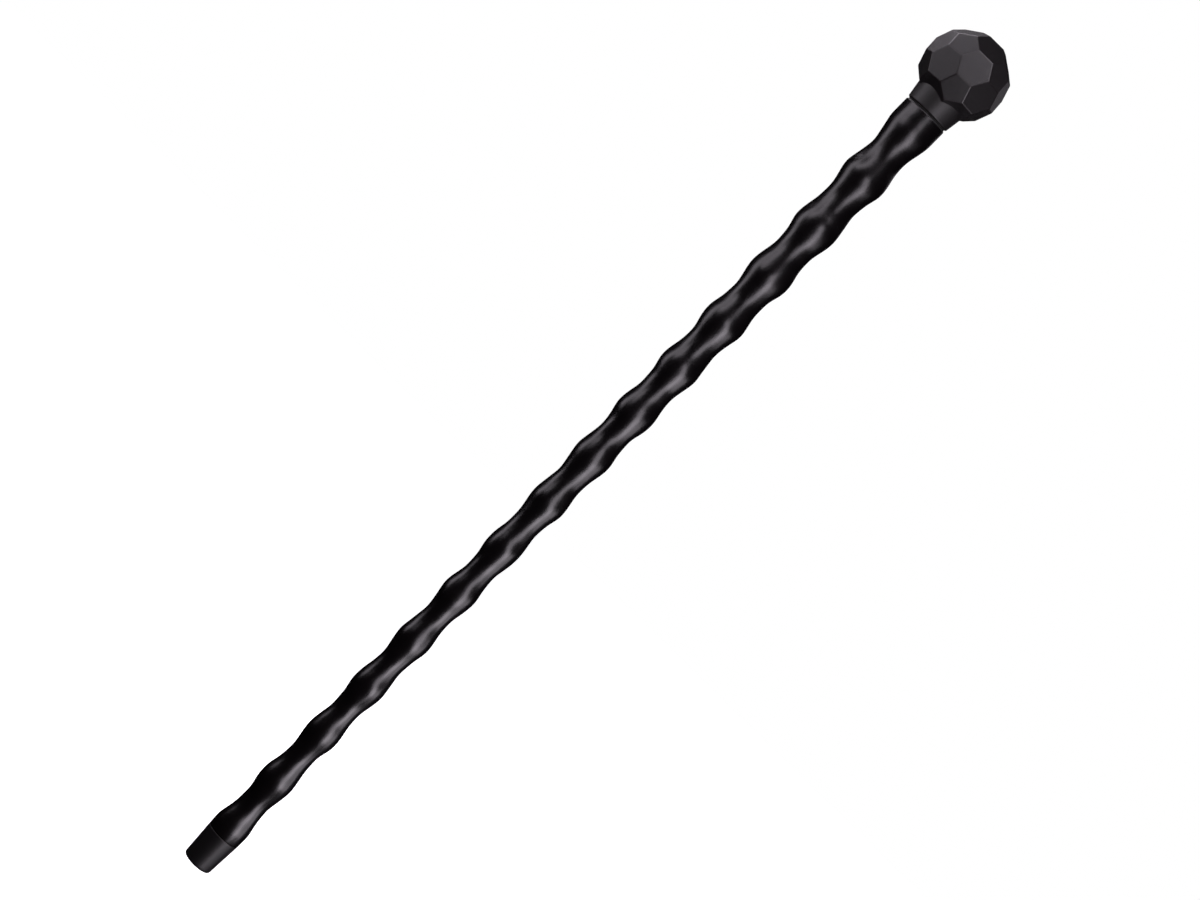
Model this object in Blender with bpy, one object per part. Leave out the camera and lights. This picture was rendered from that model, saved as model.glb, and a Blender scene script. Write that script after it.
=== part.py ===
"""Knobbed walking stick: a wavy moulded shaft, a faceted knob screwed on a stud, and a push-on ferrule.

Metres, +Z up. The origin is the middle of the ferrule's sole, and every axis of motion is the Z axis.
"""

import math

import bmesh
import bpy
from mathutils import Vector

# Whole length, from the ferrule's sole to the top of the knob
STICK_LENGTH = 0.940

# Fit between pieces that touch
CLEARANCE = 0.0003

# Ferrule, with its steel disc and the shaft's spigot inside it
FERRULE_HEIGHT = 0.0330
FERRULE_TOP_RADIUS = 0.0155
FERRULE_TOE_RADIUS = 0.0135
SOLE_ROUNDING = 0.0025
SOLE_THICKNESS = 0.0065
TREAD_GROOVE_RADII = (0.0042, 0.0082)
TREAD_GROOVE_WIDTH = 0.0012
TREAD_GROOVE_DEPTH = 0.0012
DISC_THICKNESS = 0.0015
SPIGOT_RADIUS = 0.0108
SPIGOT_CHAMFER = 0.0008

# Waves along the shaft, from the ferrule's seam up to the plain band under the knob. They fill the length
# between the first crest and the last, and are longer towards both ends, by shares of the shortest wave
SEAM_TO_FIRST_CREST = 0.0088
FOOT_WAVE_SHARE = 1.10
HEAD_WAVE_SHARE = 1.095
WAVE_COUNT = 14
WAVES_BELOW_SHORTEST = 9
LAST_CREST_TO_NECK = 0.0260
NECK_TO_BAND = 0.0255
BAND_LENGTH = 0.0188

# Radius at chosen crests, counted from the foot: the shaft is slimmest above its foot
FIRST_CREST_RADIUS = 0.0158
SLIM_CREST, SLIM_CREST_RADIUS = 2, 0.0146
LOW_CREST, LOW_CREST_RADIUS = 6, 0.0152
HIGH_CREST, HIGH_CREST_RADIUS = 9, 0.0171
LAST_CREST_RADIUS = 0.0200
BAND_RADIUS = 0.0206

# Depth of the hollow between two crests, and how much sharper a crest is than a neck
FOOT_HOLLOW = 0.0033
MIDDLE_HOLLOW = 0.0030
LAST_HOLLOW = 0.0039
CREST_SHARPNESS = 0.04

# Joint between shaft and knob: a V groove with a thin washer at its bottom
SHAFT_CHAMFER_HEIGHT = 0.0011
SHAFT_CHAMFER_WIDTH = 0.0008
COLLAR_CHAMFER_HEIGHT = 0.0010
COLLAR_CHAMFER_WIDTH = 0.0011
JOINT_WASHER_THICKNESS = 0.0005
JOINT_WASHER_INSET = 0.0004

# Stud and its two inserts: the thread's mean radius stands for the thread in both
THREAD_PITCH = 0.00175
ENGAGED_TURNS = 10
THREAD_RADIUS = 0.00545
STUD_CHAMFER = 0.0009
SHOULDER_RADIUS = 0.0100
SHOULDER_THICKNESS = 0.0020
INSERT_LENGTH = 0.0205
INSERT_RADIUS = 0.0085
INSERT_FLANGE_RADIUS = 0.0100
INSERT_FLANGE_THICKNESS = 0.0015
INSERT_GROOVE_DEPTH = 0.0008
INSERT_GROOVE_WIDTH = 0.0022
INSERT_GROOVE_PITCH = 0.0055
INSERT_FIRST_GROOVE = 0.0048
INSERT_GROOVES = 3
STUD_END_GAP = 0.0015

# Knob: a ball of 12 pentagons and 20 hexagons with a pentagon on top, running into a conical collar
KNOB_EDGE = 0.0154
KNOB_CENTRE_ABOVE_COLLAR = 0.0428
KNOB_TURN = math.radians(-86)
KNOB_EDGE_ROUNDING = 0.0007
COLLAR_FOOT_RADIUS = 0.0210
COLLAR_FLARE = 0.156
COLLAR_TOP_BELOW_CENTRE = 0.0195

# Counts of flat faces
ROUND_STEPS = 28
SMALL_ROUND_STEPS = 20
RINGS_PER_WAVE = 8
ROUNDING_STEPS = 4


def blend(value, places, sizes):
    """The size at a place, on straight lines between the sizes at given places."""
    for (a, b), (low, high) in zip(zip(places, places[1:]), zip(sizes, sizes[1:])):
        if value <= b:
            return low + (high - low) * (value - a) / (b - a)
    return sizes[-1]


def wave_share(wave):
    """Length from one crest to the next over that of the shortest wave, for a wave counted from the foot."""
    return blend(wave, (0, WAVES_BELOW_SHORTEST, WAVE_COUNT - 1), (FOOT_WAVE_SHARE, 1.0, HEAD_WAVE_SHARE))


# Heights that follow from the sizes above: up from the sole as far as the first crest
TOP_OF_DISC = SOLE_THICKNESS + CLEARANCE + DISC_THICKNESS
SPIGOT_FOOT = TOP_OF_DISC + CLEARANCE
SHAFT_FOOT = FERRULE_HEIGHT + CLEARANCE
FIRST_CREST = FERRULE_HEIGHT + SEAM_TO_FIRST_CREST

# The ball is an icosahedron with its tips cut off, so its top lies a third of the way from tip to ring
TIP_HEIGHT = 3 * KNOB_EDGE * math.sin(2 * math.pi / 5)
TIP_RING_HEIGHT = TIP_HEIGHT / math.sqrt(5)
BALL_HALF_HEIGHT = TIP_HEIGHT + (TIP_RING_HEIGHT - TIP_HEIGHT) / 3

# Heights down from the top of the knob as far as the last crest
COLLAR_FOOT = STICK_LENGTH - BALL_HALF_HEIGHT - KNOB_CENTRE_ABOVE_COLLAR
SHAFT_TOP = COLLAR_FOOT - CLEARANCE - JOINT_WASHER_THICKNESS - CLEARANCE
BAND_FOOT = SHAFT_TOP - BAND_LENGTH
LAST_NECK = BAND_FOOT - NECK_TO_BAND
LAST_CREST = LAST_NECK - LAST_CREST_TO_NECK
SHORTEST_WAVE = (LAST_CREST - FIRST_CREST) / sum(wave_share(wave) for wave in range(WAVE_COUNT))

# Stud and inserts, counted from the top of the shaft
THREAD_LENGTH = ENGAGED_TURNS * THREAD_PITCH
SHOULDER_FOOT = SHAFT_TOP - SHOULDER_THICKNESS
SHAFT_INSERT_TOP = SHOULDER_FOOT - CLEARANCE


def clear_scene():
    for thing in list(bpy.data.objects):
        bpy.data.objects.remove(thing, do_unlink=True)


def make_material(name, colour, roughness, metallic=0.0):
    """A Principled material of one colour."""
    material = bpy.data.materials.new(name)
    material.use_nodes = True
    shader = material.node_tree.nodes["Principled BSDF"]
    shader.inputs["Base Color"].default_value = (*colour, 1.0)
    shader.inputs["Roughness"].default_value = roughness
    shader.inputs["Metallic"].default_value = metallic
    material.diffuse_color = (*colour, 1.0)
    return material


def axis_empty(name, height):
    """An empty on the stick's axis, which carries the pieces that move together."""
    empty = bpy.data.objects.new(name, None)
    empty.location = (0.0, 0.0, height)
    bpy.context.scene.collection.objects.link(empty)
    return empty


def add_object(name, bm, material, carrier, smooth_angle=30):
    """Turns a bmesh into a named object on its carrier empty."""
    bmesh.ops.recalc_face_normals(bm, faces=bm.faces[:])
    mesh = bpy.data.meshes.new(name)
    bm.to_mesh(mesh)
    bm.free()
    mesh.shade_smooth()
    mesh.set_sharp_from_angle(angle=math.radians(smooth_angle))
    if material:
        mesh.materials.append(material)
    thing = bpy.data.objects.new(name, mesh)
    thing.parent = carrier
    bpy.context.scene.collection.objects.link(thing)
    return thing


def turned(outline, steps):
    """A bmesh of revolution about Z from (radius, height) points, closed from the last point to the first."""
    bm = bmesh.new()
    corners = [bm.verts.new((radius, 0.0, height)) for radius, height in outline]
    rim = [bm.edges.new((a, b)) for a, b in zip(corners, corners[1:])]
    if outline[0][0] > 0.0:
        rim.append(bm.edges.new((corners[-1], corners[0])))
    bmesh.ops.spin(
        bm,
        geom=corners + rim,
        cent=(0.0, 0.0, 0.0),
        axis=(0.0, 0.0, 1.0),
        angle=2 * math.pi,
        steps=steps,
        use_merge=True,
    )
    bmesh.ops.remove_doubles(bm, verts=bm.verts[:], dist=1e-7)
    return bm


def hide_helper(thing):
    thing.hide_render = True
    thing.display_type = "WIRE"


def boolean(target, operation, helper):
    modifier = target.modifiers.new(helper.name, "BOOLEAN")
    modifier.operation = operation
    modifier.solver = "EXACT"
    modifier.object = helper


def crest_radius(crest):
    """Radius of the shaft's envelope at a crest's number, whole or between two crests."""
    return blend(
        crest,
        (0, SLIM_CREST, LOW_CREST, HIGH_CREST, WAVE_COUNT, WAVE_COUNT + 1),
        (
            FIRST_CREST_RADIUS,
            SLIM_CREST_RADIUS,
            LOW_CREST_RADIUS,
            HIGH_CREST_RADIUS,
            LAST_CREST_RADIUS,
            BAND_RADIUS,
        ),
    )


def hollow_depth(crest):
    """Depth of the carved hollow at a place counted in crests."""
    return blend(crest, (0, WAVE_COUNT / 2, WAVE_COUNT), (FOOT_HOLLOW, MIDDLE_HOLLOW, LAST_HOLLOW))


def hollow_share(phase):
    """Share of the hollow's depth at a phase from 0 at one crest to 1 at the next."""
    turn = 2 * math.pi * phase
    return (1 - math.cos(turn)) / 2 + CREST_SHARPNESS * (1 - math.cos(2 * turn))


def wave_points():
    """Outline of the shaft from its first crest up to its last neck, as (radius, height)."""
    points = []
    height = FIRST_CREST
    for crest in range(WAVE_COUNT):
        length = SHORTEST_WAVE * wave_share(crest)
        for ring in range(RINGS_PER_WAVE):
            phase = ring / RINGS_PER_WAVE
            place = crest + phase
            radius = crest_radius(place) - hollow_depth(place) * hollow_share(phase)
            points.append((radius, height + phase * length))
        height += length
    half = RINGS_PER_WAVE // 2
    neck_radius = crest_radius(WAVE_COUNT + 0.5) - LAST_HOLLOW
    for ring in range(half):
        phase = ring / RINGS_PER_WAVE
        fall = (LAST_CREST_RADIUS - neck_radius) * hollow_share(phase)
        points.append((LAST_CREST_RADIUS - fall, LAST_CREST + 2 * phase * LAST_CREST_TO_NECK))
    return points, neck_radius


def neck_to_band_points(neck_radius):
    """The last hollow rises to the band's corner on the mean of a parabola and a cosine."""
    points = []
    for ring in range(RINGS_PER_WAVE):
        rise = ring / RINGS_PER_WAVE
        share = (rise**2 + (1 - math.cos(math.pi * rise)) / 2) / 2
        radius = neck_radius + (BAND_RADIUS - neck_radius) * share
        points.append((radius, LAST_NECK + rise * NECK_TO_BAND))
    return points


def make_ferrule(material, carrier):
    """Rubber cap: a tapered cup with a rounded toe and two ring grooves in its sole."""
    outline = [(0.0, 0.0)]
    for radius in TREAD_GROOVE_RADII:
        inner = radius - TREAD_GROOVE_WIDTH / 2
        outer = radius + TREAD_GROOVE_WIDTH / 2
        outline += [(inner, 0.0), (inner, TREAD_GROOVE_DEPTH), (outer, TREAD_GROOVE_DEPTH), (outer, 0.0)]
    for step in range(ROUNDING_STEPS + 1):
        angle = math.pi / 2 * step / ROUNDING_STEPS
        radius = FERRULE_TOE_RADIUS - SOLE_ROUNDING * (1 - math.sin(angle))
        outline.append((radius, SOLE_ROUNDING * (1 - math.cos(angle))))
    socket = SPIGOT_RADIUS + CLEARANCE
    outline += [
        (FERRULE_TOP_RADIUS, FERRULE_HEIGHT),
        (socket, FERRULE_HEIGHT),
        (socket, SOLE_THICKNESS),
        (0.0, SOLE_THICKNESS),
    ]
    heights_from_carrier = [(radius, height - SHAFT_FOOT) for radius, height in outline]
    return add_object("ferrule", turned(heights_from_carrier, ROUND_STEPS), material, carrier)


def make_ferrule_disc(material, carrier):
    """Steel disc on the socket's floor, which keeps the spigot from punching through the rubber."""
    foot = SOLE_THICKNESS + CLEARANCE - SHAFT_FOOT
    top = TOP_OF_DISC - SHAFT_FOOT
    outline = [(0.0, foot), (SPIGOT_RADIUS, foot), (SPIGOT_RADIUS, top), (0.0, top)]
    return add_object("ferrule_disc", turned(outline, ROUND_STEPS), material, carrier)


def make_shaft(material, carrier):
    """Solid moulded shaft: spigot, waves, plain band, and a stepped pocket in its top for insert and stud."""
    waves, neck_radius = wave_points()
    outline = [
        (0.0, SPIGOT_FOOT),
        (SPIGOT_RADIUS - SPIGOT_CHAMFER, SPIGOT_FOOT),
        (SPIGOT_RADIUS, SPIGOT_FOOT + SPIGOT_CHAMFER),
        (SPIGOT_RADIUS, SHAFT_FOOT),
        (FERRULE_TOP_RADIUS, SHAFT_FOOT),
    ]
    outline += waves
    outline += neck_to_band_points(neck_radius)
    outline += [
        (BAND_RADIUS, BAND_FOOT),
        (BAND_RADIUS, SHAFT_TOP - SHAFT_CHAMFER_HEIGHT),
        (BAND_RADIUS - SHAFT_CHAMFER_WIDTH, SHAFT_TOP),
    ]
    flange_pocket = max(INSERT_FLANGE_RADIUS, SHOULDER_RADIUS) + CLEARANCE
    barrel_pocket = INSERT_RADIUS + CLEARANCE
    step = SHAFT_INSERT_TOP - INSERT_FLANGE_THICKNESS - CLEARANCE
    floor = SHAFT_INSERT_TOP - INSERT_LENGTH - CLEARANCE
    outline += [
        (flange_pocket, SHAFT_TOP),
        (flange_pocket, step),
        (barrel_pocket, step),
        (barrel_pocket, floor),
        (0.0, floor),
    ]
    return add_object("shaft", turned(outline, ROUND_STEPS), material, carrier)


def insert_outline(face, inward):
    """Half section of a brass insert: its flange lies at face, its barrel runs inward, -1 down or +1 up."""
    bore = THREAD_RADIUS + CLEARANCE / 2
    points = [(bore, 0.0), (INSERT_FLANGE_RADIUS, 0.0), (INSERT_FLANGE_RADIUS, INSERT_FLANGE_THICKNESS)]
    points.append((INSERT_RADIUS, INSERT_FLANGE_THICKNESS))
    for groove in range(INSERT_GROOVES):
        middle = INSERT_FIRST_GROOVE + groove * INSERT_GROOVE_PITCH
        start = middle - INSERT_GROOVE_WIDTH / 2
        end = middle + INSERT_GROOVE_WIDTH / 2
        root = INSERT_RADIUS - INSERT_GROOVE_DEPTH
        points += [(INSERT_RADIUS, start), (root, start), (root, end), (INSERT_RADIUS, end)]
    points += [(INSERT_RADIUS, INSERT_LENGTH), (bore, INSERT_LENGTH)]
    return [(radius, face + inward * depth) for radius, depth in points]


def make_shaft_insert(material, carrier):
    """Brass nut moulded into the top of the shaft."""
    outline = insert_outline(SHAFT_INSERT_TOP, -1)
    return add_object("shaft_insert", turned(outline, SMALL_ROUND_STEPS), material, carrier)


def make_stud(material, carrier):
    """Steel stud with a round shoulder, its lower thread fixed in the shaft and its upper one in the knob."""
    radius = THREAD_RADIUS - CLEARANCE / 2
    foot = SHAFT_INSERT_TOP - INSERT_LENGTH + STUD_END_GAP
    top = COLLAR_FOOT + THREAD_LENGTH
    outline = [
        (0.0, foot),
        (radius - STUD_CHAMFER, foot),
        (radius, foot + STUD_CHAMFER),
        (radius, SHOULDER_FOOT),
        (SHOULDER_RADIUS, SHOULDER_FOOT),
        (SHOULDER_RADIUS, SHAFT_TOP),
        (radius, SHAFT_TOP),
        (radius, top - STUD_CHAMFER),
        (radius - STUD_CHAMFER, top),
        (0.0, top),
    ]
    return add_object("stud", turned(outline, SMALL_ROUND_STEPS), material, carrier)


def make_joint_washer(material, carrier):
    """Thin black washer, whose edge is the dark line at the bottom of the V groove."""
    foot = SHAFT_TOP + CLEARANCE - COLLAR_FOOT
    top = foot + JOINT_WASHER_THICKNESS
    inner = SHOULDER_RADIUS + CLEARANCE
    outer = BAND_RADIUS - SHAFT_CHAMFER_WIDTH - JOINT_WASHER_INSET
    outline = [(inner, foot), (outer, foot), (outer, top), (inner, top)]
    return add_object("joint_washer", turned(outline, ROUND_STEPS), material, carrier)


def make_knob_insert(material, carrier):
    """Brass nut moulded into the knob, with its flange flush with the knob's underside."""
    outline = insert_outline(0.0, 1)
    return add_object("knob_insert", turned(outline, SMALL_ROUND_STEPS), material, carrier)


def ball_corners():
    """The ball's 60 corners: an icosahedron standing on a corner, with each edge cut at its two thirds."""
    whole_edge = 3 * KNOB_EDGE
    ring = 2 * TIP_RING_HEIGHT
    tips = [Vector((0.0, 0.0, TIP_HEIGHT)), Vector((0.0, 0.0, -TIP_HEIGHT))]
    for side in (-1, 1):
        for fifth in range(5):
            angle = KNOB_TURN + 2 * math.pi * fifth / 5 + (math.pi / 5 if side > 0 else 0.0)
            tips.append(Vector((ring * math.cos(angle), ring * math.sin(angle), side * TIP_RING_HEIGHT)))
    pairs = [(tip, other) for tip in tips for other in tips if tip is not other]
    neighbours = [(tip, other) for tip, other in pairs if (tip - other).length < whole_edge + KNOB_EDGE]
    return [tip.lerp(other, 1 / 3) for tip, other in neighbours]


def make_knob(material, carrier):
    """Moulded knob: the faceted ball joined to its collar, with a stepped bore for the insert and stud."""
    bm = bmesh.new()
    for corner in ball_corners():
        bm.verts.new(corner + Vector((0.0, 0.0, KNOB_CENTRE_ABOVE_COLLAR)))
    bmesh.ops.convex_hull(bm, input=bm.verts[:])
    bmesh.ops.dissolve_limit(bm, angle_limit=math.radians(1), verts=bm.verts[:], edges=bm.edges[:])
    knob = add_object("knob", bm, material, carrier, smooth_angle=15)
    rounding = knob.modifiers.new("edge rounding", "BEVEL")
    rounding.width = KNOB_EDGE_ROUNDING
    rounding.segments = 2
    rounding.limit_method = "ANGLE"
    rounding.angle_limit = math.radians(20)

    collar_top = KNOB_CENTRE_ABOVE_COLLAR - COLLAR_TOP_BELOW_CENTRE
    collar_outline = [
        (0.0, 0.0),
        (COLLAR_FOOT_RADIUS - COLLAR_CHAMFER_WIDTH, 0.0),
        (COLLAR_FOOT_RADIUS, COLLAR_CHAMFER_HEIGHT),
        (COLLAR_FOOT_RADIUS + COLLAR_FLARE * (collar_top - COLLAR_CHAMFER_HEIGHT), collar_top),
        (0.0, collar_top),
    ]
    collar = add_object("collar_form", turned(collar_outline, ROUND_STEPS), None, carrier)
    hide_helper(collar)
    boolean(knob, "UNION", collar)

    below = -COLLAR_CHAMFER_HEIGHT
    step = INSERT_FLANGE_THICKNESS + CLEARANCE
    roof = INSERT_LENGTH + CLEARANCE
    flange_pocket = INSERT_FLANGE_RADIUS + CLEARANCE
    barrel_pocket = INSERT_RADIUS + CLEARANCE
    bore_outline = [
        (0.0, below),
        (flange_pocket, below),
        (flange_pocket, step),
        (barrel_pocket, step),
        (barrel_pocket, roof),
        (0.0, roof),
    ]
    bore = add_object("knob_bore", turned(bore_outline, SMALL_ROUND_STEPS), None, carrier)
    hide_helper(bore)
    boolean(knob, "DIFFERENCE", bore)
    return knob


def make_stick():
    clear_scene()
    plastic = make_material("black polypropylene", (0.022, 0.020, 0.021), 0.42)
    rubber = make_material("black rubber", (0.018, 0.017, 0.018), 0.62)
    fibre = make_material("black fibre", (0.008, 0.008, 0.008), 0.80)
    steel = make_material("zinc plated steel", (0.55, 0.55, 0.53), 0.35, 1.0)
    brass = make_material("brass", (0.62, 0.44, 0.18), 0.32, 1.0)

    shaft_axis = axis_empty("shaft_axis", 0.0)
    ferrule_axis = axis_empty("ferrule_axis", SHAFT_FOOT)
    knob_axis = axis_empty("knob_axis", COLLAR_FOOT)

    make_ferrule(rubber, ferrule_axis)
    make_ferrule_disc(steel, ferrule_axis)
    make_shaft(plastic, shaft_axis)
    make_shaft_insert(brass, shaft_axis)
    make_stud(steel, shaft_axis)
    make_joint_washer(fibre, knob_axis)
    make_knob_insert(brass, knob_axis)
    make_knob(plastic, knob_axis)


make_stick()
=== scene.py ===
import math

import bmesh
import bpy
import numpy as np
from mathutils import Matrix, Vector


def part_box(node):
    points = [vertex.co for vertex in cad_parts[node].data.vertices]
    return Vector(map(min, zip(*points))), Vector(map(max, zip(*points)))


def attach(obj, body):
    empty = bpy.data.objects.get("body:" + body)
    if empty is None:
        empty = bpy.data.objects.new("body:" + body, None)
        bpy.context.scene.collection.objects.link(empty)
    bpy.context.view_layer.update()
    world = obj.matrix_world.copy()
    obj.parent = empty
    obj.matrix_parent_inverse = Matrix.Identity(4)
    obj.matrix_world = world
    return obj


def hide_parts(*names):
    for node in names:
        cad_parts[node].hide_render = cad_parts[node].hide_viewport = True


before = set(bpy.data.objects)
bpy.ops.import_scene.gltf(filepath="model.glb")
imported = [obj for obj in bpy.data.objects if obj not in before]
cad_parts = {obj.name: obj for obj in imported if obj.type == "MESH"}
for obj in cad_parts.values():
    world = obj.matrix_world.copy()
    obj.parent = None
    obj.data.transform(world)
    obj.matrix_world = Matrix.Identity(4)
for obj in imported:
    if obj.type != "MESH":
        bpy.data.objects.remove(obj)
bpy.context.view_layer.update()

# Shaft insert: a machined brass nut that the shaft is moulded around, flange up.
# Knurls of both hands and three grooves key it into the plastic, and its thread holds the stud.
THREAD_PITCH = 0.00175
THREAD_RADIUS = 0.00545
THREAD_HALF_DEPTH = 0.00042
THREAD_CLEARANCE = 0.00015
THREAD_STEEPNESS = 1.25
ROWS_PER_TURN = 10
INSERT_LENGTH = 0.0205
INSERT_RADIUS = 0.0085
INSERT_FLANGE_RADIUS = 0.0100
INSERT_FLANGE_THICKNESS = 0.0015
INSERT_GROOVE_DEPTH = 0.0008
INSERT_GROOVE_WIDTH = 0.0022
INSERT_GROOVE_PITCH = 0.0055
INSERT_FIRST_GROOVE = 0.0048
INSERT_GROOVES = 3
INSERT_MOUTH = 0.0006
BARREL_ROWS = 33
WALL_STEP = 0.00002
KNURL_DEPTH = 0.00025
KNURL_TEETH = 40
KNURL_TWIST = 260.0
COLUMNS_PER_TOOTH = 6
CREASE = math.radians(30)
MILLIMETRES = (1000.0, 1000.0, 1000.0)
COLOUR_A, COLOUR_B, MIXED_COLOUR = 6, 7, 2
shaft_insert_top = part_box("shaft_insert")[1][2]


def linear(code):
    """Linear colour of an sRGB hex code."""
    channels = np.array([int(code[i : i + 2], 16) for i in (1, 3, 5)]) / 255
    curved = np.where(channels <= 0.04045, channels / 12.92, ((channels + 0.055) / 1.055) ** 2.4)
    return (*curved.tolist(), 1.0)


def add_node(tree, kind, inputs=None, **settings):
    """Adds a node. Settings go to its properties, and inputs to its sockets, as values or as links.

    A socket goes by its name, or by its number where names repeat, as they do on a colour Mix node.
    """
    node = tree.nodes.new(kind)
    for name, value in settings.items():
        setattr(node, name, value)
    for name, value in (inputs or {}).items():
        if isinstance(value, bpy.types.NodeSocket):
            tree.links.new(value, node.inputs[name])
        else:
            node.inputs[name].default_value = value
    return node


def start_material(name, colour, roughness, ior=1.5, metallic=0.0):
    """A Principled material, with its nodes, its shader and the place on the object in millimetres.

    Where a pattern is linked to colour or roughness later, the value given here is about its middle.
    """
    material = bpy.data.materials.new(name)
    material.use_nodes = True
    tree = material.node_tree
    shader = tree.nodes["Principled BSDF"]
    shader.inputs["Base Color"].default_value = linear(colour)
    shader.inputs["Roughness"].default_value = roughness
    shader.inputs["IOR"].default_value = ior
    shader.inputs["Metallic"].default_value = metallic
    metres = add_node(tree, "ShaderNodeTexCoord").outputs["Object"]
    place = add_node(tree, "ShaderNodeMapping", {"Vector": metres, "Scale": MILLIMETRES})
    return material, tree, shader, place.outputs["Vector"]


def turned(profile, columns, swell=0.0):
    """A profile of (radius, height) carried round the Z axis: x = r cos a, y = r sin a, z = h.

    Swell is added to the radius, as one number or as an array of rows by columns.
    """
    angle = np.linspace(0.0, 2 * np.pi, columns, endpoint=False)
    radius = profile[:, :1] + np.zeros(columns) + swell
    height = profile[:, 1:] + np.zeros(columns)
    return np.stack([radius * np.cos(angle), radius * np.sin(angle), height], -1)


def closed_mesh(name, points, ring=False):
    """Mesh of a surface points[row, column]: each cell between neighbours is a face, and columns close.

    The first and last rows are single points on the axis, or meet each other where ring is true. Points
    that are in no face, such as the repeated ones of such a row, are left out.
    """
    rows, columns = points.shape[:2]
    index = np.arange(rows * columns).reshape(rows, columns)
    if ring:
        index = np.vstack([index, index[:1]])
    else:
        index[0] = index[0, 0]
        index[-1] = index[-1, 0]
    low, high = index[:-1], index[1:]
    cells = np.stack([low, np.roll(low, -1, 1), np.roll(high, -1, 1), high], -1).reshape(-1, 4)
    used, cells = np.unique(cells, return_inverse=True)
    cells = cells.reshape(-1, 4)
    if ring:
        faces = cells.tolist()
    else:
        foot, side, head = cells[:columns, [0, 2, 3]], cells[columns:-columns], cells[-columns:, :3]
        faces = foot.tolist() + side.tolist() + head.tolist()
    mesh = bpy.data.meshes.new(name)
    mesh.from_pydata(points.reshape(-1, 3)[used], [], faces)
    return mesh


def new_object(name, data):
    """An object of a mesh, a light or a camera, linked to the scene."""
    thing = bpy.data.objects.new(name, data)
    bpy.context.scene.collection.objects.link(thing)
    return thing


def finished_piece(name, mesh, material):
    """An object of a mesh, smooth except where two faces meet at more than the crease angle."""
    mesh.shade_smooth()
    mesh.set_sharp_from_angle(angle=CREASE)
    mesh.materials.append(material)
    return new_object(name, mesh)


def ridge(height, columns):
    """A right-handed thread's ridge, from -1 at its root to 1 at its crest, by height and angle.

    It is a triangle wave of height over pitch less the share of a turn, times the steepness, and is cut
    flat at crest and root.
    """
    turn = np.arange(columns) / columns
    phase = height[:, None] / THREAD_PITCH - turn
    return np.clip(THREAD_STEEPNESS * (4 * np.abs(phase - np.floor(phase + 0.5)) - 1), -1.0, 1.0)


def insert_points(face, inward):
    """A brass insert as a closed ring of rows: face, flange, knurled barrel and threaded bore.

    Inward is 1 where the insert reaches up from its face, and -1 where it reaches down. A knurl lowers
    the barrel by a triangle wave of the angle plus a twist with the depth, and the twist changes hand at
    each groove. The bore's radius follows the ridge of the thread.
    """
    columns = KNURL_TEETH * COLUMNS_PER_TOOTH
    grooves = INSERT_FIRST_GROOVE + INSERT_GROOVE_PITCH * np.arange(INSERT_GROOVES)
    walls = np.concatenate([grooves - INSERT_GROOVE_WIDTH / 2, grooves + INSERT_GROOVE_WIDTH / 2])
    even = np.linspace(INSERT_FLANGE_THICKNESS, INSERT_LENGTH, BARREL_ROWS)
    barrel = np.sort(np.concatenate([even, walls - WALL_STEP, walls + WALL_STEP]))
    in_groove = (np.abs(barrel[:, None] - grooves) < INSERT_GROOVE_WIDTH / 2).any(1)
    hand = 1 - 2 * (np.searchsorted(grooves, barrel) % 2)
    tooth = KNURL_TEETH * np.arange(columns) / columns + (hand * KNURL_TWIST * barrel)[:, None]
    knurl = -KNURL_DEPTH * np.abs(2 * (tooth - np.floor(tooth)) - 1) * ~in_groove[:, None]

    bore = THREAD_RADIUS + THREAD_CLEARANCE
    turns = (INSERT_LENGTH - 2 * INSERT_MOUTH) / THREAD_PITCH
    thread = np.linspace(INSERT_LENGTH - INSERT_MOUTH, INSERT_MOUTH, round(turns * ROWS_PER_TURN))
    flange = [0.0, 0.0, INSERT_FLANGE_THICKNESS]
    depth = np.concatenate([flange, barrel, [INSERT_LENGTH], thread])
    mouth = bore + INSERT_MOUTH
    radius = np.concatenate(
        [
            [mouth, INSERT_FLANGE_RADIUS, INSERT_FLANGE_RADIUS],
            INSERT_RADIUS - INSERT_GROOVE_DEPTH * in_groove,
            [mouth],
            np.full(len(thread), bore),
        ]
    )
    swell = np.zeros((len(depth), columns))
    swell[len(flange) : len(flange) + len(barrel)] = knurl
    swell[-len(thread) :] = THREAD_HALF_DEPTH * ridge(face + inward * thread, columns)
    points = turned(np.stack([radius, face + inward * depth], -1), columns, swell)
    return points if inward > 0 else points[::-1]


# Free-machining brass, turned and knurled: yellow, browner in patches where it has aged, and lined by the
# tool every quarter of a millimetre.
brass, tree, shader, place = start_material("turned brass", "#c7a25a", 0.28, metallic=1.0)
tarnish = add_node(tree, "ShaderNodeTexNoise", {"Vector": place, "Scale": 0.3, "Detail": 4.0})
tone = add_node(
    tree,
    "ShaderNodeMix",
    {"Factor": tarnish.outputs["Fac"], COLOUR_A: linear("#b08a48"), COLOUR_B: linear("#d6b56e")},
    data_type="RGBA",
)
tree.links.new(tone.outputs[MIXED_COLOUR], shader.inputs["Base Color"])
tool_marks = add_node(
    tree, "ShaderNodeTexWave", {"Vector": place, "Scale": 1.2, "Distortion": 0.4}, bands_direction="Z"
)
marks = add_node(
    tree, "ShaderNodeBump", {"Height": tool_marks.outputs["Fac"], "Distance": 0.000004, "Strength": 0.6}
)
tree.links.new(marks.outputs["Normal"], shader.inputs["Normal"])

insert_in_shaft = finished_piece(
    "insert_in_shaft", closed_mesh("insert in shaft", insert_points(shaft_insert_top, -1), ring=True), brass
)
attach(insert_in_shaft, "shaft_body")
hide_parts("shaft_insert")

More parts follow.
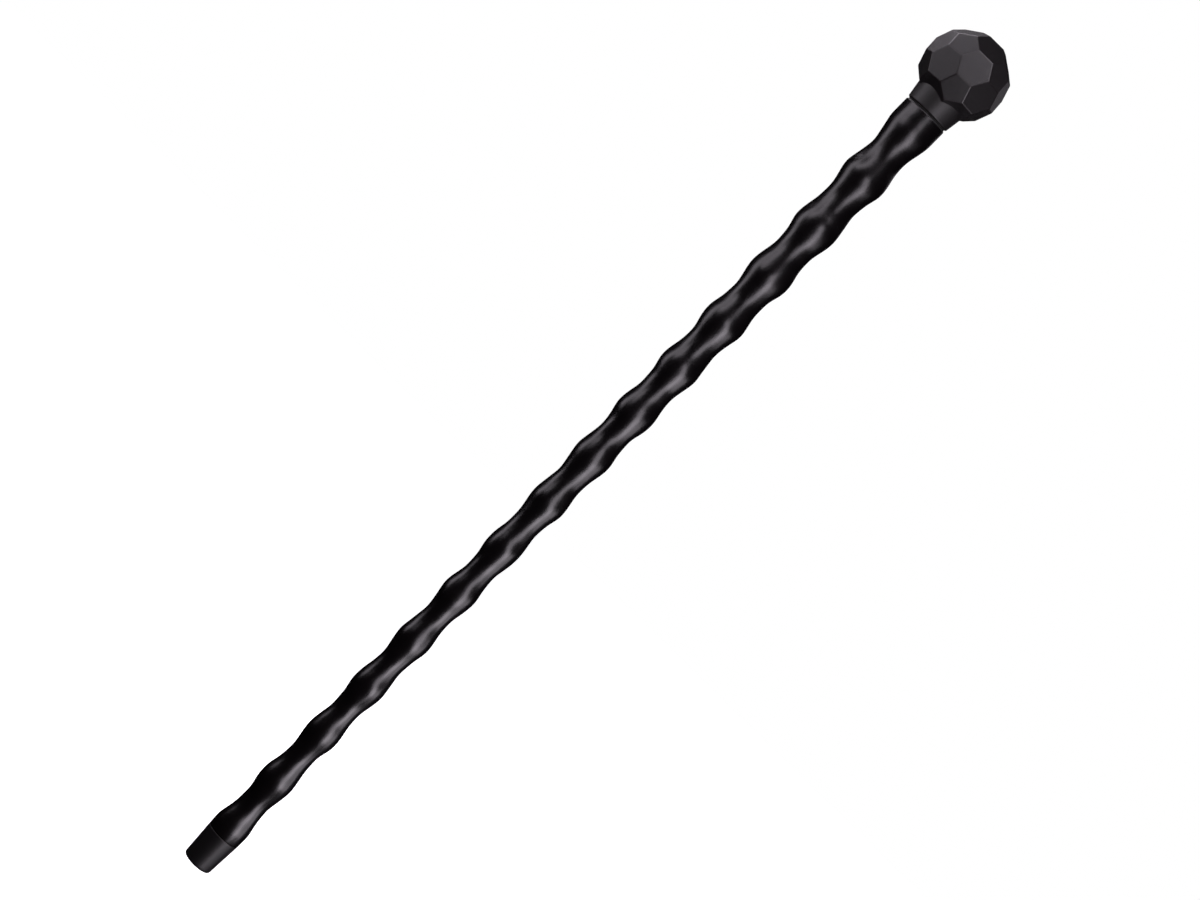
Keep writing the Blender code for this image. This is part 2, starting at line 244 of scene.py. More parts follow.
# Shaft: one solid moulding of black polypropylene, from a tool whose waves copy a hand-carved stick.
# A spigot at its foot takes the ferrule, and a pocket in its top holds the insert and the stud's shoulder.
CLEARANCE = 0.0003
SPIGOT_RADIUS = 0.0108
SPIGOT_CHAMFER = 0.0008
SEAM_TO_FIRST_CREST = 0.0088
FOOT_WAVE_SHARE = 1.10
HEAD_WAVE_SHARE = 1.095
WAVE_COUNT = 14
WAVES_BELOW_SHORTEST = 9
LAST_CREST_TO_NECK = 0.0260
NECK_TO_BAND = 0.0255
BAND_LENGTH = 0.0188
BAND_RADIUS = 0.0206
BAND_ROWS = 16
CREST_NUMBERS = (0, 2, 6, 9, WAVE_COUNT)
CREST_RADII = (0.0158, 0.0146, 0.0152, 0.0171, 0.0200)
HOLLOW_DEPTHS = (0.0033, 0.0030, 0.0039)
CREST_SHARPNESS = 0.04
SHAFT_CHAMFER_HEIGHT = 0.0011
SHAFT_CHAMFER_WIDTH = 0.0008
SHOULDER_THICKNESS = 0.0020
SHAFT_COLUMNS = 112
SHAFT_ROW = 0.00118
EDGE_ROUNDING = 0.0003
ROUNDING_STEPS = 4
CARVING_DEPTH = 0.00014
CARVING_WAVES = 9
CARVING_COUNTS_ROUND = 4
CARVING_SHORTEST = 0.016
CARVING_STEP = 0.0035
CARVING_SHIFT = 2.4
CARVING_FADE = 0.012
BAND_BLEND = 0.15

spigot_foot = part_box("shaft")[0][2]
ferrule_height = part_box("ferrule")[1][2]
ferrule_top_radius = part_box("ferrule")[1][0]
shaft_foot = ferrule_height + CLEARANCE
shaft_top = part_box("shaft")[1][2]
band_foot = shaft_top - BAND_LENGTH
last_neck = band_foot - NECK_TO_BAND
last_crest = last_neck - LAST_CREST_TO_NECK
first_crest = ferrule_height + SEAM_TO_FIRST_CREST
wave_shares = np.interp(
    np.arange(WAVE_COUNT),
    (0, WAVES_BELOW_SHORTEST, WAVE_COUNT - 1),
    (FOOT_WAVE_SHARE, 1.0, HEAD_WAVE_SHARE),
)
crests_below = np.concatenate([[0.0], np.cumsum(wave_shares)]) / wave_shares.sum()
crest_heights = first_crest + (last_crest - first_crest) * crests_below


def hollow_share(phase):
    """Share of a hollow's depth from one crest, 0, to the next, 1.

    It is half of one less the cosine of a whole turn, plus a small part of one less the cosine of two
    turns, which makes the crests a little sharper than the necks.
    """
    turn = 2 * np.pi * phase
    return (1 - np.cos(turn)) / 2 + CREST_SHARPNESS * (1 - np.cos(2 * turn))


def wave_radius(height):
    """Radius of the waves at a height: the crests' envelope, less the hollow's depth times its share.

    Above the last crest half a hollow leads down to the last neck. From there the radius rises by the mean
    of a parabola and half a cosine, and runs into the band's by a smooth minimum.
    """
    crest = np.interp(height, crest_heights, np.arange(WAVE_COUNT + 1))
    envelope = np.interp(crest, CREST_NUMBERS, CREST_RADII)
    depth = np.interp(crest, (0, WAVE_COUNT / 2, WAVE_COUNT), HOLLOW_DEPTHS)
    waves = envelope - depth * hollow_share(crest % 1.0)
    neck_radius = (CREST_RADII[-1] + BAND_RADIUS) / 2 - HOLLOW_DEPTHS[-1]
    fall = hollow_share(np.clip((height - last_crest) / LAST_CREST_TO_NECK, 0, 1) / 2)
    down = CREST_RADII[-1] - (CREST_RADII[-1] - neck_radius) * fall
    rise = np.maximum((height - last_neck) / NECK_TO_BAND, 0)
    share = np.where(rise < 1, (rise**2 + (1 - np.cos(np.pi * np.minimum(rise, 1))) / 2) / 2, rise)
    overlap = np.maximum(BAND_BLEND - np.abs(share - 1), 0)
    up = neck_radius + (BAND_RADIUS - neck_radius) * (np.minimum(share, 1) - overlap**2 / (4 * BAND_BLEND))
    return np.where(height > last_neck, up, np.where(height > last_crest, down, waves))


def carving(height, columns):
    """Unevenness of the carved pattern that the tool copies, by height and angle.

    It is a sum of cosines over the root of their number. Each runs round and along the shaft together, with
    one to four waves round it and a length of its own along it, so nothing repeats. A smooth step fades it
    out towards the ferrule and the knob.
    """
    angle = 2 * np.pi * np.arange(columns) / columns
    total = np.zeros((len(height), columns))
    for wave in range(CARVING_WAVES):
        round_it = 1 + wave % CARVING_COUNTS_ROUND
        along_it = 2 * np.pi / (CARVING_SHORTEST + CARVING_STEP * wave) * (-1) ** wave
        total += np.cos(round_it * angle + along_it * height[:, None] + CARVING_SHIFT * wave**2)
    room = np.minimum(height - shaft_foot, shaft_top - height)
    fade = np.clip(room / CARVING_FADE, 0.0, 1.0)
    return CARVING_DEPTH * total / CARVING_WAVES**0.5 * (fade**2 * (3 - 2 * fade))[:, None]


def arc(corner, before, after, rounding, steps=ROUNDING_STEPS):
    """Points of a parabola that rounds a corner off, from its one side to its other."""
    corner, before, after = np.array(corner), np.array(before), np.array(after)
    start = corner + rounding * (before - corner) / np.linalg.norm(before - corner)
    end = corner + rounding * (after - corner) / np.linalg.norm(after - corner)
    t = np.linspace(0.0, 1.0, steps + 1)[:, None]
    return (1 - t) ** 2 * start + 2 * t * (1 - t) * corner + t**2 * end


def eased(corners, rounding):
    """A profile through corners of (radius, height), with every corner between its ends rounded off."""
    pieces = [np.array(corners[:1])]
    for before, corner, after in zip(corners, corners[1:], corners[2:]):
        pieces.append(arc(corner, before, after, rounding))
    pieces.append(np.array(corners[-1:]))
    return np.concatenate(pieces)


ends = (first_crest, last_crest, last_neck, band_foot)
wave_rows = np.concatenate([np.arange(low, high, SHAFT_ROW) for low, high in zip(ends, ends[1:])])
band_rows = np.linspace(band_foot, shaft_top - SHAFT_CHAMFER_HEIGHT - EDGE_ROUNDING, BAND_ROWS)
spigot = eased(
    [
        (0.0, spigot_foot),
        (SPIGOT_RADIUS - SPIGOT_CHAMFER, spigot_foot),
        (SPIGOT_RADIUS, spigot_foot + SPIGOT_CHAMFER),
        (SPIGOT_RADIUS, shaft_foot),
        (ferrule_top_radius, shaft_foot),
        (CREST_RADII[0], first_crest),
    ],
    EDGE_ROUNDING,
)
flange_pocket = INSERT_FLANGE_RADIUS + CLEARANCE
barrel_pocket = INSERT_RADIUS + CLEARANCE
pocket_step = shaft_insert_top - INSERT_FLANGE_THICKNESS - CLEARANCE
pocket_floor = shaft_insert_top - INSERT_LENGTH - CLEARANCE
head = eased(
    [
        (BAND_RADIUS, band_rows[-1]),
        (BAND_RADIUS, shaft_top - SHAFT_CHAMFER_HEIGHT),
        (BAND_RADIUS - SHAFT_CHAMFER_WIDTH, shaft_top),
        (flange_pocket, shaft_top),
        (flange_pocket, pocket_step),
        (barrel_pocket, pocket_step),
        (barrel_pocket, pocket_floor),
        (0.0, pocket_floor),
    ],
    EDGE_ROUNDING,
)
shaft_profile = np.concatenate(
    [
        spigot[:-1],
        np.stack([wave_radius(wave_rows), wave_rows], -1),
        np.stack([wave_radius(band_rows), band_rows], -1),
        head[1:],
    ]
)
carved = np.zeros((len(shaft_profile), SHAFT_COLUMNS))
waved = slice(len(spigot) - 1, len(spigot) - 1 + len(wave_rows) + len(band_rows))
carved[waved] = carving(shaft_profile[waved, 1], SHAFT_COLUMNS)

# Polypropylene moulded against a lightly grained tool: near black and satin, with a fine grain about 0.4 mm
# across, and with faint marks along the shaft, about 1.5 mm apart, from the knife that made the pattern.
shaft_plastic, tree, shader, place = start_material(
    "moulded polypropylene, satin", "#060506", 0.24, ior=1.49
)
mottle = add_node(tree, "ShaderNodeTexNoise", {"Vector": place, "Scale": 0.11, "Detail": 3.0})
tone = add_node(
    tree,
    "ShaderNodeMix",
    {"Factor": mottle.outputs["Fac"], COLOUR_A: linear("#050405"), COLOUR_B: linear("#080607")},
    data_type="RGBA",
)
tree.links.new(tone.outputs[MIXED_COLOUR], shader.inputs["Base Color"])
gloss = add_node(
    tree, "ShaderNodeMapRange", {"Value": mottle.outputs["Fac"], "To Min": 0.21, "To Max": 0.27}
)
tree.links.new(gloss.outputs["Result"], shader.inputs["Roughness"])
along = add_node(tree, "ShaderNodeMapping", {"Vector": place, "Scale": (1.0, 1.0, 0.1)})
knife_marks = add_node(
    tree, "ShaderNodeTexNoise", {"Vector": along.outputs["Vector"], "Scale": 0.7, "Detail": 1.0}
)
marked = add_node(
    tree, "ShaderNodeBump", {"Height": knife_marks.outputs["Fac"], "Distance": 0.00004, "Strength": 1.0}
)
grain = add_node(
    tree, "ShaderNodeTexNoise", {"Vector": place, "Scale": 2.4, "Detail": 2.0, "Roughness": 0.6}
)
skin = add_node(
    tree,
    "ShaderNodeBump",
    {
        "Height": grain.outputs["Fac"],
        "Distance": 0.00006,
        "Strength": 1.0,
        "Normal": marked.outputs["Normal"],
    },
)
tree.links.new(skin.outputs["Normal"], shader.inputs["Normal"])

# The shaft's top is faced on a lathe after moulding, which leaves its chamfer and its end dull, with
# turning lines 0.16 mm apart.
faced_plastic, tree, shader, place = start_material("faced polypropylene", "#080707", 0.62, ior=1.49)
turning = add_node(
    tree, "ShaderNodeTexWave", {"Vector": place, "Scale": 2.0, "Distortion": 0.3}, bands_direction="Z"
)
lines = add_node(
    tree, "ShaderNodeBump", {"Height": turning.outputs["Fac"], "Distance": 0.00001, "Strength": 1.0}
)
tree.links.new(lines.outputs["Normal"], shader.inputs["Normal"])

shaft = finished_piece(
    "wavy_shaft", closed_mesh("wavy shaft", turned(shaft_profile, SHAFT_COLUMNS, carved)), shaft_plastic
)
shaft.data.materials.append(faced_plastic)
face_heights = np.array([face.center.z for face in shaft.data.polygons])
faced = face_heights > shaft_top - SHAFT_CHAMFER_HEIGHT
shaft.data.polygons.foreach_set("material_index", faced.astype(np.int32))
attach(shaft, "shaft_body")
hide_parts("shaft")

# Stud: zinc-plated steel with a round shoulder and a rolled thread at each end.
# Its lower end stays in the shaft, and the knob screws down on its upper end.
SHOULDER_RADIUS = 0.0100
STUD_CHAMFER = 0.0009
STUD_COLUMNS = 72
stud_foot, stud_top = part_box("stud")[0][2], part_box("stud")[1][2]
shoulder_foot = shaft_top - SHOULDER_THICKNESS


def threaded_rod(foot, top, radius):
    """Profile of a threaded rod from foot to top, and the ridge on it.

    The ridge fades over half a turn at each end.
    """
    rows = np.linspace(foot, top, round((top - foot) / THREAD_PITCH * ROWS_PER_TURN))
    fade = np.clip(np.minimum(rows - foot, top - rows) / (THREAD_PITCH / 2), 0.0, 1.0)
    profile = np.stack([np.full(len(rows), radius), rows], -1)
    return profile, THREAD_HALF_DEPTH * ridge(rows, STUD_COLUMNS) * fade[:, None]


stud_radius = THREAD_RADIUS - THREAD_CLEARANCE
lower_thread, lower_ridge = threaded_rod(stud_foot + STUD_CHAMFER, shoulder_foot, stud_radius)
upper_thread, upper_ridge = threaded_rod(shaft_top, stud_top - STUD_CHAMFER, stud_radius)
shoulder = eased(
    [
        (stud_radius, shoulder_foot),
        (SHOULDER_RADIUS, shoulder_foot),
        (SHOULDER_RADIUS, shaft_top),
        (stud_radius, shaft_top),
    ],
    EDGE_ROUNDING,
)[1:-1]
foot_face = [(0.0, stud_foot), (stud_radius - STUD_CHAMFER, stud_foot)]
top_face = [(stud_radius - STUD_CHAMFER, stud_top), (0.0, stud_top)]
stud_profile = np.concatenate([foot_face, lower_thread, shoulder, upper_thread, top_face])
stud_swell = np.zeros((len(stud_profile), STUD_COLUMNS))
stud_swell[len(foot_face) : len(foot_face) + len(lower_ridge)] = lower_ridge
stud_swell[-len(top_face) - len(upper_ridge) : -len(top_face)] = upper_ridge

# Bright zinc over rolled steel: silver with a faint blue, and cloudy in colour and in gloss.
zinc, tree, shader, place = start_material("zinc-plated steel", "#b9bdc1", 0.32, metallic=1.0)
cloud = add_node(tree, "ShaderNodeTexNoise", {"Vector": place, "Scale": 0.4, "Detail": 5.0})
tone = add_node(
    tree,
    "ShaderNodeMix",
    {"Factor": cloud.outputs["Fac"], COLOUR_A: linear("#a3a8ae"), COLOUR_B: linear("#cfd1d2")},
    data_type="RGBA",
)
tree.links.new(tone.outputs[MIXED_COLOUR], shader.inputs["Base Color"])
dulling = add_node(
    tree, "ShaderNodeMapRange", {"Value": cloud.outputs["Fac"], "To Min": 0.22, "To Max": 0.42}
)
tree.links.new(dulling.outputs["Result"], shader.inputs["Roughness"])

stud = finished_piece(
    "threaded_stud", closed_mesh("threaded stud", turned(stud_profile, STUD_COLUMNS, stud_swell)), zinc
)
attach(stud, "shaft_body")
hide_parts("stud")

# Ferrule disc: a round blank of zinc-plated steel on the floor of the ferrule's socket.
# It lies loose under the spigot and spreads the load, so that the spigot doesn't punch through the rubber.
SOLE_THICKNESS = 0.0065
DISC_THICKNESS = 0.0015
DISC_COLUMNS = 72
disc_foot = SOLE_THICKNESS + CLEARANCE
disc_profile = eased(
    [
        (0.0, disc_foot),
        (SPIGOT_RADIUS, disc_foot),
        (SPIGOT_RADIUS, disc_foot + DISC_THICKNESS),
        (0.0, disc_foot + DISC_THICKNESS),
    ],
    EDGE_ROUNDING,
)
disc = finished_piece("steel_disc", closed_mesh("steel disc", turned(disc_profile, DISC_COLUMNS)), zinc)
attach(disc, "ferrule_body")
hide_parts("ferrule_disc")

# Ferrule: a push-on cap of black rubber, compression moulded, with a thick sole.
# Its toe is rounded and its sole has two ring grooves for grip.
FERRULE_TOE_RADIUS = 0.0135
SOLE_ROUNDING = 0.0025
TREAD_GROOVE_RADII = (0.0042, 0.0082)
TREAD_GROOVE_WIDTH = 0.0012
TREAD_GROOVE_DEPTH = 0.0012
FERRULE_COLUMNS = 128
FERRULE_ROWS = 24
SIDE_FOOT_SHARE = 0.12
SIDE_TOP_SHARE = 0.97
TOE_STEPS = 8
RIM_ROUNDING = 0.0004
TREAD_ROUNDING = 0.0002
sole = [(0.0, 0.0)]
for groove in TREAD_GROOVE_RADII:
    near, far = groove - TREAD_GROOVE_WIDTH / 2, groove + TREAD_GROOVE_WIDTH / 2
    sole += [(near, 0.0), (near, TREAD_GROOVE_DEPTH), (far, TREAD_GROOVE_DEPTH), (far, 0.0)]
toe = (FERRULE_TOE_RADIUS, 0.0)
rim = (ferrule_top_radius, ferrule_height)
socket = SPIGOT_RADIUS + CLEARANCE
side = np.linspace(SIDE_FOOT_SHARE, SIDE_TOP_SHARE, FERRULE_ROWS)[:, None]
ferrule_profile = np.concatenate(
    [
        eased([*sole, toe], TREAD_ROUNDING)[:-1],
        arc(toe, sole[-1], rim, SOLE_ROUNDING, steps=TOE_STEPS),
        np.array(toe) * (1 - side) + np.array(rim) * side,
        eased(
            [toe, rim, (socket, ferrule_height), (socket, SOLE_THICKNESS), (0.0, SOLE_THICKNESS)],
            RIM_ROUNDING,
        )[1:],
    ]
)

# Black rubber: matte and close to neutral, with the shallow grain of its mould, about 0.7 mm wide, and a
# little bloom.
rubber, tree, shader, place = start_material("moulded black rubber", "#0a0809", 0.40, ior=1.52)
bloom = add_node(tree, "ShaderNodeTexNoise", {"Vector": place, "Scale": 0.2, "Detail": 4.0})
tone = add_node(
    tree,
    "ShaderNodeMix",
    {"Factor": bloom.outputs["Fac"], COLOUR_A: linear("#080708"), COLOUR_B: linear("#0d0b0c")},
    data_type="RGBA",
)
tree.links.new(tone.outputs[MIXED_COLOUR], shader.inputs["Base Color"])
pores = add_node(tree, "ShaderNodeTexNoise", {"Vector": place, "Scale": 1.4, "Detail": 2.0})
skin = add_node(
    tree, "ShaderNodeBump", {"Height": pores.outputs["Fac"], "Distance": 0.00003, "Strength": 1.0}
)
tree.links.new(skin.outputs["Normal"], shader.inputs["Normal"])

ferrule = finished_piece(
    "rubber_ferrule", closed_mesh("rubber ferrule", turned(ferrule_profile, FERRULE_COLUMNS)), rubber
)
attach(ferrule, "ferrule_body")
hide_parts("ferrule")

# Knob insert: the same brass nut as the shaft's, with its flange down.
# The knob is moulded around it, and it runs on the stud's upper thread.
collar_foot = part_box("knob")[0][2]
insert_in_knob = finished_piece(
    "insert_in_knob", closed_mesh("insert in knob", insert_points(collar_foot, 1), ring=True), brass
)
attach(insert_in_knob, "knob_body")
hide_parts("knob_insert")

# Knob: one moulding of the shaft's plastic, a ball of 12 pentagons and 20 hexagons on a conical collar.
# The ball's facets are spark-eroded in the tool, and so are sandy. The collar and the bore are smooth.
KNOB_EDGE = 0.0154
KNOB_CENTRE_ABOVE_COLLAR = 0.0428
KNOB_TURN = math.radians(-86)
KNOB_EDGE_ROUNDING = 0.00071
KNOB_EDGE_SEGMENTS = 2
KNOB_LEAST_EDGE_ANGLE = math.radians(20)
COLLAR_FOOT_RADIUS = 0.0210
COLLAR_FLARE = 0.156
COLLAR_TOP_BELOW_CENTRE = 0.0195
COLLAR_CHAMFER_WIDTH = 0.0011
COLLAR_CHAMFER_HEIGHT = 0.0010
COLLAR_COLUMNS = 192
POLISHED_HIGHLIT_EDGE, SMOOTH = 1, 2
knob_centre = collar_foot + KNOB_CENTRE_ABOVE_COLLAR
collar_top = knob_centre - COLLAR_TOP_BELOW_CENTRE


def ball_facets():
    """Corners and facets of the ball: an icosahedron standing on a corner, with every corner cut off.

    The 12 tips are the poles and two rings of five, at the height of the long radius over root five and
    twice as far out. Tips less than three and a half of the ball's edges apart are neighbours, and the line
    between them is cut at both thirds. A facet is the corners furthest out along its own direction, to
    within a hundredth of an edge, in order of angle round it. The direction is a tip's for a pentagon, and
    the sum of three neighbours' for a hexagon.
    """
    long_radius = 3 * KNOB_EDGE * math.sin(2 * math.pi / 5)
    ring_height = long_radius / math.sqrt(5)
    fifths = KNOB_TURN + 2 * np.pi / 5 * np.arange(5)
    rings = [
        np.stack([2 * ring_height * np.cos(a), 2 * ring_height * np.sin(a), np.full(5, h)], -1)
        for a, h in ((fifths, -ring_height), (fifths + np.pi / 5, ring_height))
    ]
    poles = np.array([(0.0, 0.0, long_radius), (0.0, 0.0, -long_radius)])
    tips = np.concatenate([poles, *rings])
    near = np.linalg.norm(tips[:, None] - tips, axis=-1) < 3.5 * KNOB_EDGE
    np.fill_diagonal(near, False)
    one, other = np.nonzero(near)
    corners = tips[one] + (tips[other] - tips[one]) / 3
    triples = near[:, :, None] & near[:, None, :] & near[None]
    a, b, c = np.nonzero(triples)
    once = (a < b) & (b < c)
    directions = np.concatenate([tips, tips[a[once]] + tips[b[once]] + tips[c[once]]])
    facets = []
    for direction in directions / np.linalg.norm(directions, axis=1, keepdims=True):
        reach = corners @ direction
        members = np.nonzero(reach > reach.max() - KNOB_EDGE / 100)[0]
        first = corners[members[0]] - corners[members].mean(0)
        out = corners[members] - corners[members].mean(0)
        angle = np.arctan2(np.cross(first, out) @ direction, out @ first)
        facets.append(members[np.argsort(angle)].tolist())
    return corners + (0.0, 0.0, knob_centre), facets


# Spark-eroded polypropylene: near black and sandy, so that it scatters light widely. Its pits are about
# 0.4 mm across, and drawn as 0.6 mm so that they show.
sandy_plastic, tree, shader, place = start_material(
    "spark-eroded polypropylene", "#0b090a", 0.40, ior=1.49
)
mottle = add_node(tree, "ShaderNodeTexNoise", {"Vector": place, "Scale": 0.15, "Detail": 3.0})
tone = add_node(
    tree,
    "ShaderNodeMix",
    {"Factor": mottle.outputs["Fac"], COLOUR_A: linear("#090708"), COLOUR_B: linear("#0e0b0d")},
    data_type="RGBA",
)
tree.links.new(tone.outputs[MIXED_COLOUR], shader.inputs["Base Color"])
pits = add_node(
    tree, "ShaderNodeTexNoise", {"Vector": place, "Scale": 1.6, "Detail": 2.0, "Roughness": 0.7}
)
sand = add_node(
    tree, "ShaderNodeBump", {"Height": pits.outputs["Fac"], "Distance": 0.0001, "Strength": 1.0}
)
tree.links.new(sand.outputs["Normal"], shader.inputs["Normal"])

# The same plastic off a smooth part of the tool, on the collar and in the bore: dull, with uneven gloss.
smooth_plastic, tree, shader, place = start_material("smooth polypropylene", "#0c0a0a", 0.48, ior=1.49)
mottle = add_node(tree, "ShaderNodeTexNoise", {"Vector": place, "Scale": 0.25, "Detail": 4.0})
gloss = add_node(
    tree, "ShaderNodeMapRange", {"Value": mottle.outputs["Fac"], "To Min": 0.44, "To Max": 0.52}
)
tree.links.new(gloss.outputs["Result"], shader.inputs["Roughness"])

# Again the same plastic, along the rounded edges between the facets: the sparks leave less texture there,
# and hands polish them, which makes them glossier. Their lighter colour is a painted highlight, so that
# they show as thin bright lines.
polished_plastic_with_painted_highlight, tree, shader, place = start_material(
    "polished polypropylene with painted highlight", "#141112", 0.36, ior=1.49
)
wear = add_node(tree, "ShaderNodeTexNoise", {"Vector": place, "Scale": 0.3, "Detail": 4.0})
gloss = add_node(
    tree, "ShaderNodeMapRange", {"Value": wear.outputs["Fac"], "To Min": 0.30, "To Max": 0.42}
)
tree.links.new(gloss.outputs["Result"], shader.inputs["Roughness"])

ball_corners, ball_outlines = ball_facets()
ball_mesh = bpy.data.meshes.new("ball")
ball_mesh.from_pydata(ball_corners, [], ball_outlines)
knob_form = finished_piece("knob_form", ball_mesh, sandy_plastic)
ball_mesh.materials.append(polished_plastic_with_painted_highlight)
ball_mesh.materials.append(smooth_plastic)
edge_rounding = knob_form.modifiers.new("edge rounding", "BEVEL")
edge_rounding.width = KNOB_EDGE_ROUNDING
edge_rounding.segments = KNOB_EDGE_SEGMENTS
edge_rounding.limit_method = "ANGLE"
edge_rounding.angle_limit = KNOB_LEAST_EDGE_ANGLE
# The rounded edges take the polished material, whose lighter colour is a painted highlight.
edge_rounding.material = POLISHED_HIGHLIT_EDGE

collar_rise = collar_top - collar_foot - COLLAR_CHAMFER_HEIGHT
collar_profile = eased(
    [
        (0.0, collar_foot),
        (COLLAR_FOOT_RADIUS - COLLAR_CHAMFER_WIDTH, collar_foot),
        (COLLAR_FOOT_RADIUS, collar_foot + COLLAR_CHAMFER_HEIGHT),
        (COLLAR_FOOT_RADIUS + COLLAR_FLARE * collar_rise, collar_top),
        (0.0, collar_top),
    ],
    EDGE_ROUNDING,
)
bore_foot = collar_foot - COLLAR_CHAMFER_HEIGHT
bore_step = collar_foot + INSERT_FLANGE_THICKNESS + CLEARANCE
bore_roof = collar_foot + INSERT_LENGTH + CLEARANCE
bore_profile = np.array(
    [
        (0.0, bore_foot),
        (flange_pocket, bore_foot),
        (flange_pocket, bore_step),
        (barrel_pocket, bore_step),
        (barrel_pocket, bore_roof),
        (0.0, bore_roof),
    ]
)
for form, profile, operation in (("collar", collar_profile, "UNION"), ("bore", bore_profile, "DIFFERENCE")):
    helper = finished_piece(form, closed_mesh(form, turned(profile, COLLAR_COLUMNS)), sandy_plastic)
    helper.data.materials.append(polished_plastic_with_painted_highlight)
    helper.data.materials.append(smooth_plastic)
    all_smooth = np.full(len(helper.data.polygons), SMOOTH, np.int32)
    helper.data.polygons.foreach_set("material_index", all_smooth)
    helper.hide_render = True
    joined = knob_form.modifiers.new(form, "BOOLEAN")
    joined.operation = operation
    joined.solver = "EXACT"
    joined.object = helper
bpy.context.view_layer.update()
formed = knob_form.evaluated_get(bpy.context.evaluated_depsgraph_get())
knob_mesh = bpy.data.meshes.new_from_object(formed)
for form in ("knob_form", "collar", "bore"):
    bpy.data.objects.remove(bpy.data.objects[form])
knob_mesh.shade_smooth()
knob_mesh.set_sharp_from_angle(angle=CREASE)

# The borders of the collar and the bore with the ball's facets stay sharp at any angle.
seams = bmesh.new()
seams.from_mesh(knob_mesh)
for edge in seams.edges:
    edge.smooth = edge.smooth and len({face.material_index == SMOOTH for face in edge.link_faces}) == 1
seams.to_mesh(knob_mesh)
seams.free()
knob = new_object("faceted_knob", knob_mesh)
even_facets = knob.modifiers.new("even facets", "WEIGHTED_NORMAL")
even_facets.keep_sharp = True
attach(knob, "knob_body")
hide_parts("knob")

# Joint washer: a thin ring stamped from black vulcanised fibre, at the bottom of the V groove.
# It lies between the shaft's top and the collar, and rises with the knob when that is unscrewed.
WASHER_THICKNESS = 0.0005
WASHER_INSET = 0.0004
WASHER_ROUNDING = 0.00012
WASHER_COLUMNS = 128
washer_foot = shaft_top + CLEARANCE
washer_outer = BAND_RADIUS - SHAFT_CHAMFER_WIDTH - WASHER_INSET
washer_inner = SHOULDER_RADIUS + CLEARANCE
washer_profile = eased(
    [
        (washer_inner, washer_foot),
        (washer_outer, washer_foot),
        (washer_outer, washer_foot + WASHER_THICKNESS),
        (washer_inner, washer_foot + WASHER_THICKNESS),
    ],
    WASHER_ROUNDING,
)

# Vulcanised fibre: paper hardened in a press, dull black with a trace of its fibres, about 1 mm long.
fibre, tree, shader, place = start_material("vulcanised fibre", "#0c0b0b", 0.8, ior=1.55)
fibres = add_node(
    tree, "ShaderNodeTexNoise", {"Vector": place, "Scale": 1.0, "Detail": 6.0, "Distortion": 1.5}
)
tone = add_node(
    tree,
    "ShaderNodeMix",
    {"Factor": fibres.outputs["Fac"], COLOUR_A: linear("#060606"), COLOUR_B: linear("#131111")},
    data_type="RGBA",
)
tree.links.new(tone.outputs[MIXED_COLOUR], shader.inputs["Base Color"])

washer = finished_piece(
    "fibre_washer", closed_mesh("fibre washer", turned(washer_profile, WASHER_COLUMNS), ring=True), fibre
)
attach(washer, "washer_body")
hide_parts("joint_washer")

# Studio: the stick hangs over a plain pale floor, far enough up for the ferrule to come off above it.
# The floor runs into a white background. Eight soft boxes stand round the stick, three of them behind it.
LIGHT_DISTANCE = 1.0
LIGHT_COLOUR = "#fbf3fd"
STICK_MIDDLE = 0.47
FLOOR_HALF = 4.0
FLOOR_DROP = 0.035
floor_mesh = bpy.data.meshes.new("floor")
floor_mesh.from_pydata(
    [(x * FLOOR_HALF, y * FLOOR_HALF, -FLOOR_DROP) for x, y in ((-1, -1), (1, -1), (1, 1), (-1, 1))],
    [],
    [(0, 1, 2, 3)],
)
pale_floor, _, shader, _ = start_material("pale studio floor", "#f4f4f4", 0.9)
shader.inputs["Emission Color"].default_value = linear("#ffffff")
shader.inputs["Emission Strength"].default_value = 1.0
floor_mesh.materials.append(pale_floor)
floor = new_object("floor", floor_mesh)
floor.visible_diffuse = False
floor.visible_glossy = False
floor.visible_shadow = False

world = bpy.data.worlds.new("white background")
world.use_nodes = True
world.node_tree.nodes["Background"].inputs["Color"].default_value = linear("#ffffff")
world.cycles_visibility.diffuse = False
world.cycles_visibility.glossy = False
bpy.context.scene.world = world
bpy.context.scene.view_settings.view_transform = "Standard"


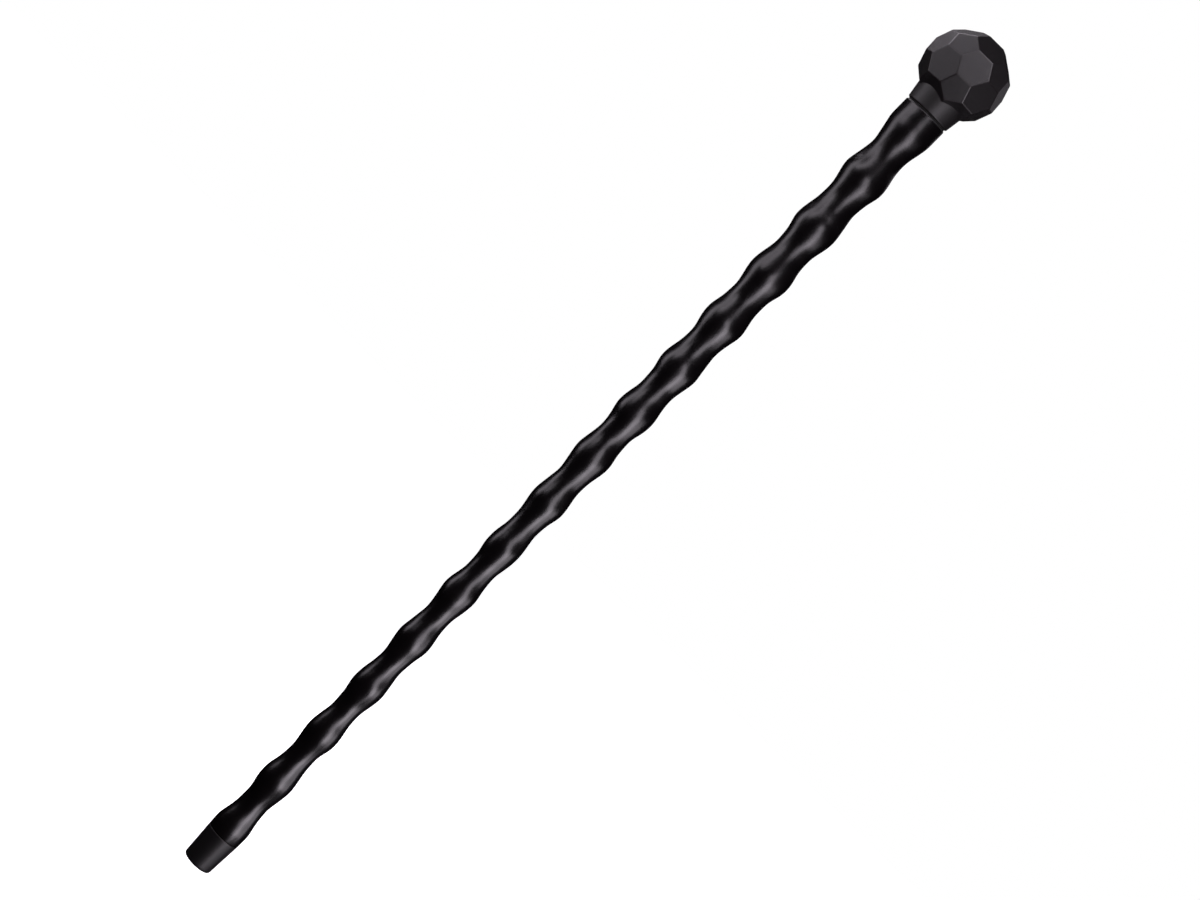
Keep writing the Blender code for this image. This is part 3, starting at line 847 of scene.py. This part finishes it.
def soft_box(name, azimuth, height, length, width, lean, radiance):
    """A rectangular area light, turned to the middle of the stick and lit to a radiance.

    Azimuth is counted in degrees from the camera's side, to the right seen from there. Lean tips the
    light's long side over, from the vertical to the right, in degrees. Power is radiance times area
    times pi.
    """
    azimuth, lean = math.radians(azimuth), math.radians(lean)
    centre = Vector((LIGHT_DISTANCE * math.sin(azimuth), -LIGHT_DISTANCE * math.cos(azimuth), height))
    back = (centre - Vector((0.0, 0.0, STICK_MIDDLE))).normalized()
    right = Vector((0.0, 0.0, 1.0)).cross(back).normalized()
    along = math.cos(lean) * back.cross(right) + math.sin(lean) * right
    lamp = bpy.data.lights.new(name, "AREA")
    lamp.shape = "RECTANGLE"
    lamp.size, lamp.size_y = width, length
    lamp.energy = radiance * length * width * math.pi
    lamp.color = linear(LIGHT_COLOUR)[:3]
    holder = new_object(name, lamp)
    turn = Matrix([along.cross(back), along, back]).transposed()
    holder.matrix_world = Matrix.Translation(centre) @ turn.to_4x4()
    holder.visible_camera = False


soft_box("right strip box", azimuth=35, height=0.33, length=1.45, width=0.43, lean=-34, radiance=4.4)
soft_box("low right box", azimuth=65, height=0.06, length=0.55, width=1.15, lean=5, radiance=2.9)
soft_box("high right box", azimuth=26, height=1.92, length=0.67, width=0.71, lean=17, radiance=7.6)
soft_box("high left strip box", azimuth=-39, height=1.34, length=1.95, width=0.42, lean=40, radiance=3.1)
soft_box("left box", azimuth=-85, height=0.72, length=1.12, width=0.45, lean=22, radiance=2.45)
soft_box("rear left box", azimuth=-124, height=1.67, length=0.96, width=0.80, lean=-9, radiance=5.0)
soft_box("rear right strip box", azimuth=135, height=1.22, length=2.25, width=0.30, lean=-62, radiance=0.33)
soft_box("rear fill box", azimuth=180, height=0.35, length=1.30, width=0.36, lean=0, radiance=2.2)

CAMERA_DISTANCE = 2.40
CAMERA_HEIGHT = 0.666
CAMERA_YAW = math.radians(-0.017)
CAMERA_PITCH = math.radians(-4.406)
CAMERA_ROLL = math.radians(44.282)
CAMERA_SENSOR_WIDTH = 36.0
CAMERA_LENS = 88.21
NEAREST_SEEN, FURTHEST_SEEN = 0.01, 100.0
camera = new_object("camera", bpy.data.cameras.new("camera"))
camera.data.sensor_width = CAMERA_SENSOR_WIDTH
camera.data.lens = CAMERA_LENS
camera.data.clip_start = NEAREST_SEEN
camera.data.clip_end = FURTHEST_SEEN
camera.matrix_world = (
    Matrix.Translation((0.0, -CAMERA_DISTANCE, CAMERA_HEIGHT))
    @ Matrix.Rotation(CAMERA_YAW, 4, "Z")
    @ Matrix.Rotation(math.pi / 2 + CAMERA_PITCH, 4, "X")
    @ Matrix.Rotation(CAMERA_ROLL, 4, "Z")
)
bpy.context.scene.camera = camera
